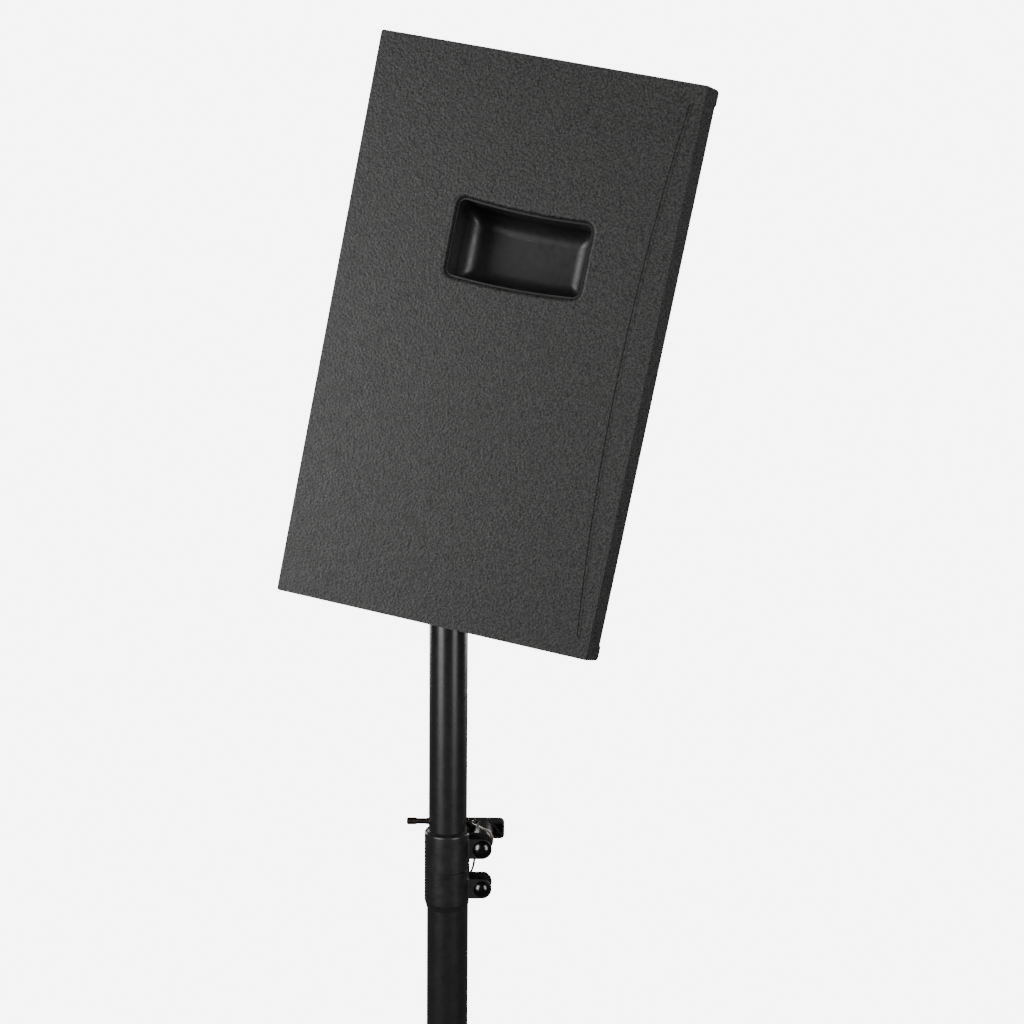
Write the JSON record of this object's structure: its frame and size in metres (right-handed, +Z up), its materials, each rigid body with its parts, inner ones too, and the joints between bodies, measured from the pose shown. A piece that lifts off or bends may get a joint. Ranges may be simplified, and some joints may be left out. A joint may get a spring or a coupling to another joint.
{
  "type": "loudspeaker on tripod stand",
  "caption": "Compact tapered loudspeaker cabinet leaning forward on a telescopic pole with a pinned clamp and a folding tripod.",
  "frame": {"origin": "floor level, under the middle of the tripod's three feet", "axes": "+Z up along the pole, +X forward, the way the loudspeaker faces, +Y to its left"},
  "size_m": [0.7535, 0.8654, 1.7589],
  "materials": {
    "cabinet_paint": "black textured paint, fine grain",
    "grille_steel": "black powder coat, perforated",
    "foam": "black acoustic foam",
    "cup_plastic": "smooth black moulded plastic",
    "socket_plastic": "black glass-filled plastic",
    "screw_steel": "blackened steel",
    "connector_plastic": "black plastic with blue-grey ring",
    "circuit_board": "green board with coils and capacitors",
    "basket_steel": "black pressed steel",
    "magnet_ferrite": "dark ferrite with zinc plates",
    "cone_paper": "black pressed paper",
    "surround_rubber": "black rubber half roll",
    "coil_copper": "copper winding on a former",
    "horn_plastic": "smooth black moulded horn",
    "tube_paint": "satin black powder coat",
    "clamp_paint": "satin black powder coat, thicker",
    "bolt_black": "polished black oxide",
    "bush_plastic": "black nylon",
    "knob_plastic": "black moulded plastic",
    "zinc_steel": "zinc-plated steel",
    "pin_oxide": "dark brown-black oxide",
    "lanyard_coat": "thin coated wire",
    "collar_plastic": "black glass-filled plastic",
    "strap_paint": "satin black flat steel",
    "rivet_steel": "black zinc rivets",
    "foot_rubber": "black rubber with moulded rings"
  },
  "bodies": {
    "stand": {"lower_tube": "tube_paint", "clamp_sleeve": "clamp_paint", "guide_bush": "bush_plastic", "clamp_bolt": "bolt_black", "fixed_bolt": "bolt_black", "fixed_nut": "zinc_steel", "lanyard_eye": "zinc_steel", "lanyard": "lanyard_coat", "bottom_bracket": "collar_plastic", "bracket_rivets": "rivet_steel", "tube_end_plug": "bush_plastic"},
    "clamp_washer": {"clamp_washer": "zinc_steel"},
    "clamp_knob": {"clamp_knob": "knob_plastic", "knob_insert": "zinc_steel"},
    "upper_tube": {"upper_tube": "tube_paint"},
    "locking_pin": {"locking_pin": "pin_oxide", "pin_ring": "zinc_steel"},
    "pole_cap": {"pole_cap": "bush_plastic"},
    "cabinet": {"side_panel_right": "cabinet_paint", "side_panel_left": "cabinet_paint", "top_panel": "cabinet_paint", "bottom_panel": "cabinet_paint", "rear_panel": "cabinet_paint", "front_baffle": "cabinet_paint", "grille": "grille_steel", "grille_foam": "foam", "handle_cup_right": "cup_plastic", "handle_cup_left": "cup_plastic", "pole_socket": "socket_plastic", "terminal_plate": "socket_plastic", "terminal_sockets": "connector_plastic", "crossover_board": "circuit_board", "cabinet_screws": "screw_steel", "driver_screws": "screw_steel", "woofer_basket": "basket_steel", "woofer_magnet": "magnet_ferrite", "woofer_surround": "surround_rubber", "horn": "horn_plastic", "compression_driver": "magnet_ferrite"},
    "woofer_cone": {"woofer_cone": "cone_paper", "woofer_dust_cap": "cone_paper", "woofer_voice_coil": "coil_copper"},
    "leg_collar": {"leg_collar": "collar_plastic"},
    "collar_pad": {"collar_pad": "bush_plastic"},
    "collar_knob": {"collar_knob": "knob_plastic"},
    "brace_1": {"brace_1": "strap_paint"},
    "leg_1": {"leg_1": "tube_paint", "leg_pins_1": "rivet_steel", "foot_1": "foot_rubber"},
    "brace_2": {"brace_2": "strap_paint"},
    "leg_2": {"leg_2": "tube_paint", "leg_pins_2": "rivet_steel", "foot_2": "foot_rubber"},
    "brace_3": {"brace_3": "strap_paint"},
    "leg_3": {"leg_3": "tube_paint", "leg_pins_3": "rivet_steel", "foot_3": "foot_rubber"}
  },
  "joints": [
    {"name": "height", "type": "slide", "parent": "stand", "child": "upper_tube", "axis": [0, 0, 1], "range_m": [-0.0035, 0.08], "deforming": ["lanyard"]},
    {"name": "pin_pull", "type": "slide", "parent": "upper_tube", "child": "locking_pin", "axis": [1, 0, 0], "range_m": [0, 0.065], "deforming": ["lanyard"]},
    {"name": "swivel", "type": "hinge", "parent": "upper_tube", "child": "pole_cap", "pos_m": [-0.12058, 0, 1.36823], "axis": [0, 0, 1], "continuous": true},
    {"name": "lift_off", "type": "slide", "parent": "pole_cap", "child": "cabinet", "axis": [0, 0, 1], "range_m": [0, 0.12]},
    {"name": "woofer_travel", "type": "slide", "parent": "cabinet", "child": "woofer_cone", "axis": [0.9817, 0, -0.1905], "range_m": [-0.004, 0.004], "stiffness_N_per_m": 1500, "deforming": ["woofer_surround"]},
    {"name": "clamp_washer_slide", "type": "slide", "parent": "stand", "child": "clamp_washer", "axis": [0, 1, 0], "range_m": [0, 0.0026]},
    {"name": "clamp_knob_turn", "type": "hinge", "parent": "clamp_washer", "child": "clamp_knob", "pos_m": [-0.08898, 0.0125, 1.0603], "axis": [0, 1, 0], "range_deg": [0, 720]},
    {"name": "collar_pad_slide", "type": "slide", "parent": "leg_collar", "child": "collar_pad", "axis": [-1, 0, 0], "range_m": [0, 0.0026]},
    {"name": "collar_knob_turn", "type": "hinge", "parent": "collar_pad", "child": "collar_knob", "pos_m": [-0.16558, 0, 0.609], "axis": [-1, 0, 0], "range_deg": [0, 720]},
    {"name": "collar_rise", "type": "slide", "parent": "stand", "child": "leg_collar", "axis": [0, 0, 1], "range_m": [0, 0.08405]},
    {"name": "tripod_fold", "type": "hinge", "parent": "stand", "child": "brace_1", "pos_m": [-0.08058, 0, 0.26457], "axis": [0, -1, 0], "range_deg": [0, 33]},
    {"name": "leg_1_fold", "type": "hinge", "parent": "brace_1", "child": "leg_1", "pos_m": [0.0458, 0, 0.43229], "axis": [0, -1, 0], "range_deg": [-66, 0]},
    {"name": "brace_2_fold", "type": "hinge", "parent": "stand", "child": "brace_2", "pos_m": [-0.14058, 0.03464, 0.26457], "axis": [0.866, 0.5, 0], "range_deg": [0, 33]},
    {"name": "leg_2_fold", "type": "hinge", "parent": "brace_2", "child": "leg_2", "pos_m": [-0.20378, 0.14409, 0.43229], "axis": [0.866, 0.5, 0], "range_deg": [-66, 0]},
    {"name": "brace_3_fold", "type": "hinge", "parent": "stand", "child": "brace_3", "pos_m": [-0.14058, -0.03464, 0.26457], "axis": [-0.866, 0.5, 0], "range_deg": [0, 33]},
    {"name": "leg_3_fold", "type": "hinge", "parent": "brace_3", "child": "leg_3", "pos_m": [-0.20378, -0.14409, 0.43229], "axis": [-0.866, 0.5, 0], "range_deg": [-66, 0]}
  ],
  "couplings": [
    {"joint": "clamp_washer_slide", "follows": "clamp_knob_turn", "m_per_rad": 0.00019894},
    {"joint": "collar_pad_slide", "follows": "collar_knob_turn", "m_per_rad": 0.00019894},
    {"joint": "collar_rise", "follows": "tripod_fold", "m_per_rad": 0.14506},
    {"joint": "leg_1_fold", "follows": "tripod_fold", "ratio": -2},
    {"joint": "brace_2_fold", "follows": "tripod_fold", "ratio": 1},
    {"joint": "leg_2_fold", "follows": "tripod_fold", "ratio": -2},
    {"joint": "brace_3_fold", "follows": "tripod_fold", "ratio": 1},
    {"joint": "leg_3_fold", "follows": "tripod_fold", "ratio": -2}
  ]
}
